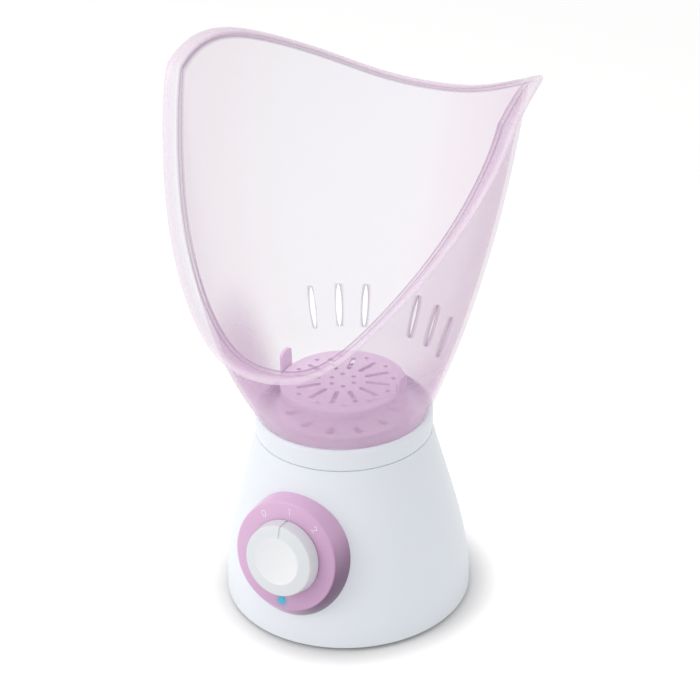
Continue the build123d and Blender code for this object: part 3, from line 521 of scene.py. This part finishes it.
# %% Sizes of the mask
mm = 0.001
collar_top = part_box("collar_ring")[1].z
collar_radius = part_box("collar_ring")[1].x
mask_wall = 2.2 * mm
mask_foot_radius = collar_radius - 2.7 * mm
mask_levels = (0.0, 100 * mm, 190 * mm)
side_reach = (79.2 * mm, 91.8 * mm)
front_reach = (74.8 * mm, 26.2 * mm)
back_reach = (83.6 * mm, 124.5 * mm)
rim_heights = [
    mm * height for height in (59.4, 66.4, 96.5, 139.1, 182.1, 187.1, 171.0, 156.4, 151.0)
]
lip_widths = [mm * width for width in (13.0, 10.3, 10.0, 6.4, 5.0)]
lip_rises = (12.4, 9.0, 24.0)              # degrees, from chin to back
lip_curl = 3.5 * mm
lip_bead = 1.5 * mm
plug_radius = collar_radius - 3.7 * mm     # the short ring that sits in the collar
plug_wall = 2.1 * mm
plug_depth = 5 * mm
plug_step = 1.6 * mm
print("mask foot radius:", mask_foot_radius, "rim heights:", rim_heights)

# %% [markdown]
# ## Curves of the wall
#
# Two curves shape the mask.  One runs round it and gives the rim's height and the
# lip's width at any angle.  The other runs up the wall and gives its reach.  Spline
# surfaces would do too, but two plain formulas are easier to check.

# %% Curves that run round the mask and up its wall
def around(values, angle):
    """Smooth symmetric curve through values spaced evenly from chin to back."""
    last = len(values) - 1
    total = 0.0
    for wave in range(last + 1):
        share = 0.0
        for place, value in enumerate(values):
            share += (0.5 if place in (0, last) else 1.0) * value * cos(pi * wave * place / last)
        total += (0.5 if wave in (0, last) else 1.0) * share * cos(wave * angle)
    return 2 * total / last

def reach(upper_values, height):
    """Parabola through the foot's radius and two reaches higher up."""
    total = 0.0
    for own, value in zip(mask_levels, (mask_foot_radius, *upper_values)):
        weight = 1.0
        for other in mask_levels:
            if other != own:
                weight *= (height - other) / (own - other)
        total += weight * value
    return total

def wall_point(angle, height):
    """Middle of the wall; angle 0 is the chin, a quarter turn the +X side."""
    side = reach(side_reach, height)
    depth = reach(front_reach if cos(angle) > 0 else back_reach, height)
    return Vector((side * sin(angle), -depth * cos(angle), collar_top + height))

step_up = 0.5 * mm
step_round = 0.01                  # radians

def wall_directions(angle, height):
    """A wall point with its upward and outward directions."""
    up = wall_point(angle, height + step_up) - wall_point(angle, height - step_up)
    along = wall_point(angle + step_round, height) - wall_point(angle - step_round, height)
    up.normalize()
    return wall_point(angle, height), up, along.cross(up).normalized()

print("wall at the chin, 50 mm up:", wall_point(0.0, 50 * mm))

# %% [markdown]
# ## Steam slots
#
# Two groups of three long oval slots let steam out at the back.  Their sizes come
# before the wall's section, because its rows crowd together where the slots are.

# %% Sizes of the steam slots
slot_length = 23 * mm
slot_width = 3.4 * mm
slot_height = 32.5 * mm
slot_margin = 2 * mm               # fine rows reach this far past a slot's ends
group_turn = 30                    # degrees from the back to the middle of a group
slot_turn = 14.7                   # degrees from one slot to the next
slot_angles = [
    pi + radians(side * group_turn + step * slot_turn)
    for side in (-1, 1) for step in (-1, 0, 1)
]
print("slots:", len(slot_angles))

# %% [markdown]
# ## The mask's cross-section
#
# At every angle the wall has the same kind of section: up the outside, round the
# lip with its bead, and down the inside to the short ring that plugs into the
# collar.  The points of neighbouring sections join into quads.

# %% One cross-section of the mask
foot_rows = 8
slot_rows = 36
wall_steps = 84
curl_steps = 8
bead_steps = 10

def row_height(step, top):
    """Height of one row of the wall; the rows crowd together where the slots are."""
    low = slot_height - slot_length / 2 - slot_margin
    high = slot_height + slot_length / 2 + slot_margin
    if step <= foot_rows:
        return low * step / foot_rows
    if step <= foot_rows + slot_rows:
        return low + (high - low) * (step - foot_rows) / slot_rows
    upper_rows = wall_steps - foot_rows - slot_rows
    return high + (top - high) * (step - foot_rows - slot_rows) / upper_rows

def lip_path(angle):
    """Middle line of the section: places, outward directions and the edge's direction."""
    turn_angle = pi / 2 - radians(around(lip_rises, angle))
    width = around(lip_widths, angle)
    set_back = lip_curl * tan(turn_angle / 2)
    top = around(rim_heights, angle)
    curl_height = top - set_back * wall_directions(angle, top)[1].z
    middle = []
    for step in range(wall_steps + 1):
        height = row_height(step, curl_height)
        point, _, out = wall_directions(angle, height)
        if step == 0:
            out = Vector((out.x, out.y, 0)).normalized()
        middle.append((point, out, height))
    start, up, out = wall_directions(angle, curl_height)
    for step in range(1, curl_steps + 1):
        bend = turn_angle * step / curl_steps
        point = start + out * lip_curl * (1 - cos(bend)) + up * lip_curl * sin(bend)
        middle.append((point, out * cos(bend) - up * sin(bend), top))
    across = out * sin(turn_angle) + up * cos(turn_angle)
    edge = middle[-1][0] + across * (width - set_back - lip_bead)
    return middle, edge, across

print("edge of the lip at the chin:", lip_path(0.0)[1], "at the back:", lip_path(pi)[1])

# %% [markdown]
# ## Slots in the mesh
#
# A slot could be cut out with a boolean, which leaves ragged triangles.  Here two
# columns of points share each slot's angle and part where it opens, so the edge
# stays clean.

# %% Slots that let steam out at the back
column_count = 200
column_gap = 0.8                   # plain columns keep this share of a step off a slot

def slot_half_width(height):
    """Half the width of a long oval slot at one height, zero above and below it."""
    share = (height - slot_height) / (slot_length / 2)
    return slot_width / 2 * sqrt(max(0.0, 1 - share * share))

def column_angles():
    """Angles of the mesh's columns; each slot gets a left and a right edge column."""
    step = 2 * pi / column_count
    columns = []
    for index in range(column_count):
        angle = index * step
        if all(abs(angle - slot) > column_gap * step for slot in slot_angles):
            columns.append((angle, 0))
    for slot in slot_angles:
        columns += [(slot, -1), (slot, 1)]
    return sorted(columns)

print("columns round the mask:", len(column_angles()))

# %% [markdown]
# ## The mask's mesh
#
# The columns are joined into one closed shell.  Points on the fold of the lip, on
# its bead and on the slots' edges carry a mark that the clear plastic reads: a
# painted dark line on the fold and the slots' edges, and a painted highlight on the bead.

# %% One column of the mask's mesh
thinnest_opening = 0.00005         # half a slot's width from which its edges part

def mask_column(angle, slot_side):
    """All points of one column, the outside first and the collar plug last."""
    middle, edge, across = lip_path(angle)
    shifted = []
    for point, out, height in middle:
        half = slot_half_width(height) if slot_side else 0.0
        if half > thinnest_opening:
            radius = sqrt(point.x ** 2 + point.y ** 2)
            moved = angle + slot_side * half / radius
            point, _, out = wall_directions(moved, height)
            shifted.append((point, out, True))
        else:
            shifted.append((point, out, False))
    outside = [point + out * mask_wall / 2 for point, out, _ in shifted]
    inside = [point - out * mask_wall / 2 for point, out, _ in shifted]
    bead = []
    away = shifted[-1][1]
    for step in range(bead_steps + 1):
        bend = pi / 2 - pi * step / bead_steps
        bead.append(edge + away * lip_bead * sin(bend) + across * lip_bead * cos(bend))
    radial = Vector((sin(angle), -cos(angle), 0))
    plug_inner = plug_radius - plug_wall
    plug = [
        radial * plug_inner + Vector((0, 0, collar_top + plug_step)),
        radial * plug_inner + Vector((0, 0, collar_top - plug_depth)),
        radial * plug_radius + Vector((0, 0, collar_top - plug_depth)),
        radial * plug_radius + Vector((0, 0, collar_top)),
    ]
    open_rows = [row for row, (_, _, is_open) in enumerate(shifted) if is_open]
    return outside + bead + inside[::-1] + plug, open_rows

print("points in a column:", len(mask_column(0.0, 0)[0]))

# %% [markdown]
# ## Join the columns
#
# Neighbouring columns are joined row by row into quads, all but those inside a slot,
# whose walls close the gap between the outside and the inside.  Edges that turn
# sharply stay sharp, and all others are shaded smooth.

# %% Build the mask's mesh
merge_distance = 0.00001
sharp_turn = radians(32)

def build_mask():
    """The whole shell, with its marks for the painted dark lines on the fold and slot edges and
    the painted highlight on the bead.
    """
    mesh = bmesh.new()
    fold = mesh.verts.layers.float.new("fold")
    bead = mesh.verts.layers.float.new("bead")
    slot_edge = mesh.verts.layers.float.new("slot_edge")
    columns = column_angles()
    made = [mask_column(*column) for column in columns]
    rings = [[mesh.verts.new(point) for point in points] for points, _ in made]
    rows = len(rings[0])
    wall_rows = wall_steps + curl_steps + 1
    last = 2 * wall_rows + bead_steps
    for ring, (_, open_rows) in zip(rings, made):
        # the fold carries a painted dark line, strongest in the middle of the curl
        for row in range(curl_steps + 1):
            near_middle = 1 - abs(2 * row / curl_steps - 1)
            ring[wall_steps + row][fold] = near_middle
            ring[last - wall_steps - row][fold] = near_middle
        # the bead carries a painted highlight
        for row in range(wall_rows, wall_rows + bead_steps + 1):
            ring[row][bead] = 1.0
        # the slots' edges carry a painted dark line
        for row in open_rows:
            ring[row][slot_edge] = 1.0
            ring[last - row][slot_edge] = 1.0
    for index, ring in enumerate(rings):
        following = rings[(index + 1) % len(rings)]
        (angle, side), (_, next_side) = columns[index], columns[(index + 1) % len(rings)]
        slot_between = side == -1 and next_side == 1
        open_rows = set(made[index][1]) if slot_between else set()
        for row in range(rows):
            above = (row + 1) % rows
            if slot_between:
                on_outside = row < wall_rows and above < wall_rows
                first = row if on_outside else last - row
                second = above if on_outside else last - above
                if first in open_rows or second in open_rows:
                    continue
            mesh.faces.new((ring[row], following[row], following[above], ring[above]))
        if slot_between and open_rows:
            low, high = min(open_rows) - 1, max(open_rows) + 1
            for column in (ring, following):
                for row in range(low, high):
                    inner = last - row
                    corners = (column[row], column[row + 1], column[inner - 1], column[inner])
                    mesh.faces.new(corners if column is following else corners[::-1])
    bmesh.ops.remove_doubles(mesh, verts=mesh.verts, dist=merge_distance)
    bmesh.ops.recalc_face_normals(mesh, faces=mesh.faces)
    for face in mesh.faces:
        face.smooth = True
    for edge in mesh.edges:
        if len(edge.link_faces) == 2:
            edge.smooth = edge.calc_face_angle() < sharp_turn
    data = bpy.data.meshes.new("mask shell")
    mesh.to_mesh(data)
    open_edges = sum(len(edge.link_faces) != 2 for edge in mesh.edges)
    print("mask faces", len(mesh.faces), "open edges", open_edges)
    mesh.free()
    return data

mask_shell = bpy.data.objects.new("mask_shell", build_mask())
bpy.context.scene.collection.objects.link(mask_shell)
mask_shell.data.materials.append(mask_clear)
mask_shell.visible_shadow = False
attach(mask_shell, "mask")
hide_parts("face_mask")

# %% [markdown]
# ## Printed figures
#
# The dial's face carries the figures 0, 1 and 2 in white pad print.  Each one stands
# upright as seen from the middle of the dial.  They could be painted by a texture,
# but separate thin figures stay sharp at any distance.  Each figure is dropped on
# the face along the dial's axis, and stands a hair above it.

# %% Strokes of the figures
def arc(centre, radius_x, radius_y, start, end, steps=20):
    """Points along part of an oval, angles in degrees from the right."""
    turns = [radians(start + (end - start) * step / steps) for step in range(steps + 1)]
    return [(centre[0] + radius_x * cos(a), centre[1] + radius_y * sin(a)) for a in turns]

figure_strokes = {
    "0": arc((0, 0), 1.12, 1.8, 90, 450, 48),
    "1": [(-0.85, 1.05), (0.25, 1.8), (0.25, -1.8)],
    "2": arc((0, 0.78), 1.08, 1.02, 165, -40, 30) + [(-1.1, -1.8), (1.2, -1.8)],
}
print("figures:", list(figure_strokes))

# %% [markdown]
# ## Place the figures
#
# The figures sit on a circle round the dial's axis, each turned to stand upright
# from the middle.  The axis is the dial joint's own, so they follow the frame.

# %% Place the figures on the dial
dial_joint = next(joint for joint in frame["joints"] if joint["name"] == "dial_turn")
dial_centre = Vector(dial_joint["pos_m"])
dial_lean = radians(12.3)
dial_out = Vector((0, -cos(dial_lean), sin(dial_lean)))
dial_side = Vector((1, 0, 0))
dial_up = dial_out.cross(dial_side)
figure_radius = 26.0 * mm
figure_stroke = 0.30 * mm                  # half the thickness of a line
figure_rise = 0.06 * mm                    # how far a line stands off the face
drop_height = 0.03
print("dial axis:", dial_joint["axis"], "up the face:", dial_up)

def surface_height(place):
    """Where a line along the dial's axis meets the dial ring."""
    start = place + dial_out * drop_height
    found, hit, _, _ = nodes["dial_bezel"].ray_cast(start, -dial_out)
    return hit if found else place

def make_figure(figure, angle, white):
    """One figure as a thin raised line that follows its strokes."""
    curve = bpy.data.curves.new("figure_" + figure, "CURVE")
    curve.dimensions = "3D"
    curve.bevel_depth = figure_stroke
    curve.bevel_resolution = 3
    curve.use_fill_caps = True
    points = figure_strokes[figure]
    closed = figure == "0"
    spline = curve.splines.new("POLY")
    points = points[:-1] if closed else points
    spline.points.add(len(points) - 1)
    spline.use_cyclic_u = closed
    outward = dial_side * sin(angle) + dial_up * cos(angle)
    sideways = dial_side * cos(angle) - dial_up * sin(angle)
    for point, (x, y) in zip(spline.points, points):
        place = dial_centre + sideways * x * mm + outward * (figure_radius + y * mm)
        place = surface_height(place) - dial_out * (figure_stroke - figure_rise)
        point.co = (*place, 1.0)
    piece = bpy.data.objects.new("figure_" + figure, curve)
    bpy.context.scene.collection.objects.link(piece)
    curve.materials.append(white)
    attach(piece, "base")
    return piece

figure_white = moulded("white pad print", (0.93, 0.93, 0.95), 0.5, 3000.0, 0.000002)
figure_turns = {"0": -35.5, "1": 1.0, "2": 39.0}      # degrees from straight up
for figure, degrees in figure_turns.items():
    made = make_figure(figure, radians(degrees), figure_white)
    print("placed", made.name)

# %% [markdown]
# ## Floor and backdrop
#
# The steamer stands on a plain white surface in a white room.  The floor is an
# ordinary matt white, so it takes a soft shadow; a little light of its own, seen
# only by the eye and by clear or shiny surfaces, lifts it to white.  That light is
# weakest right under the steamer, so the contact shadow stays.

# %% Floor
foot_ring = (0.070, 0.094)         # the glow sets in over this ring round the base
open_floor = (0.16, 0.32)          # and weakens over this one
glow_under, glow_beside, glow_lost = 0.02, 0.38, 0.22

def floor_finish():
    finish = Finish("floor")
    seen = finish.larger(finish.ray("Camera"), finish.ray("Glossy"))
    seen = finish.larger(seen, finish.ray("Transmission"))
    matt = finish.node("ShaderNodeBsdfDiffuse", {}, {"Color": (0.84, 0.84, 0.84, 1)})
    from_axis = finish.node("ShaderNodeVectorMath", {"operation": "LENGTH"},
                            {0: finish.place()}, output="Value")
    close_by = finish.ramp(from_axis, *foot_ring)
    far_off = finish.ramp(from_axis, *open_floor)
    strength = seen * (glow_under + glow_beside * close_by - glow_lost * far_off)
    glow = finish.node("ShaderNodeEmission", {}, {"Color": (1, 1, 1, 1), "Strength": strength})
    both = finish.node("ShaderNodeAddShader", {}, {0: matt, 1: glow})
    finish.node("ShaderNodeOutputMaterial", {}, {"Surface": both})
    return finish.material

floor_mesh = bpy.data.meshes.new("floor")
floor_size = 6.0
corners = [(x * floor_size, y * floor_size, 0) for x, y in ((-1, -1), (1, -1), (1, 1), (-1, 1))]
floor_mesh.from_pydata(corners, [], [(0, 1, 2, 3)])
floor = bpy.data.objects.new("floor", floor_mesh)
floor_mesh.materials.append(floor_finish())
bpy.context.scene.collection.objects.link(floor)
print("floor:", 2 * floor_size, "m wide")

# %% [markdown]
# ## Room light
#
# The room lights the steamer evenly from all sides.  It is a little weaker as a lamp
# than it looks to the eye, which keeps colours as they are under a white backdrop.
# Its nodes are made by the same method as a finish's.

# %% Room light
class Room(Finish):
    """The world, built from nodes like a finish."""

    def __init__(self, name):
        self.world = bpy.data.worlds.new(name)
        self.world.use_nodes = True
        self.tree = self.world.node_tree
        self.tree.nodes.clear()

room = Room("white room")
bpy.context.scene.world = room.world
seen = room.larger(room.ray("Camera"), room.ray("Transmission"))
strength = room.node("ShaderNodeMapRange", {}, {"Value": seen, "To Min": 0.85, "To Max": 1.0})
light = room.node("ShaderNodeBackground", {}, {"Color": (1, 1, 1, 1), "Strength": strength})
room.node("ShaderNodeOutputWorld", {}, {"Surface": light})
print("room:", room.world.name)

# %% [markdown]
# ## Lamps
#
# One broad soft lamp to the left gives the white base its slow change from light
# to shade, and a weaker one from above and behind draws the rim's highlights.

# %% Lamps
lamp_colour = (1.0, 0.985, 0.96)           # slightly warm

def soft_lamp(name, place, aim, width, height, power):
    data = bpy.data.lights.new(name, "AREA")
    data.color = lamp_colour
    data.shape = "RECTANGLE"
    data.size = width
    data.size_y = height
    data.energy = power
    lamp = bpy.data.objects.new(name, data)
    lamp.location = place
    lamp.rotation_mode = "QUATERNION"
    lamp.rotation_quaternion = (Vector(aim) - Vector(place)).to_track_quat("-Z", "Y")
    bpy.context.scene.collection.objects.link(lamp)
    return lamp

middle = (0, 0, 0.14)
left_lamp = soft_lamp("left soft lamp", (-1.05, -1.35, 0.95), middle, 0.9, 1.2, 8.0)
top_lamp = soft_lamp("top soft lamp", (-0.5, -0.2, 1.7), middle, 1.0, 1.0, 4.5)
print("lamps:", left_lamp.name, top_lamp.name)

# %% [markdown]
# ## View settings
#
# The view shows colours as they are written.

# %% View settings
bpy.context.scene.view_settings.view_transform = "Standard"
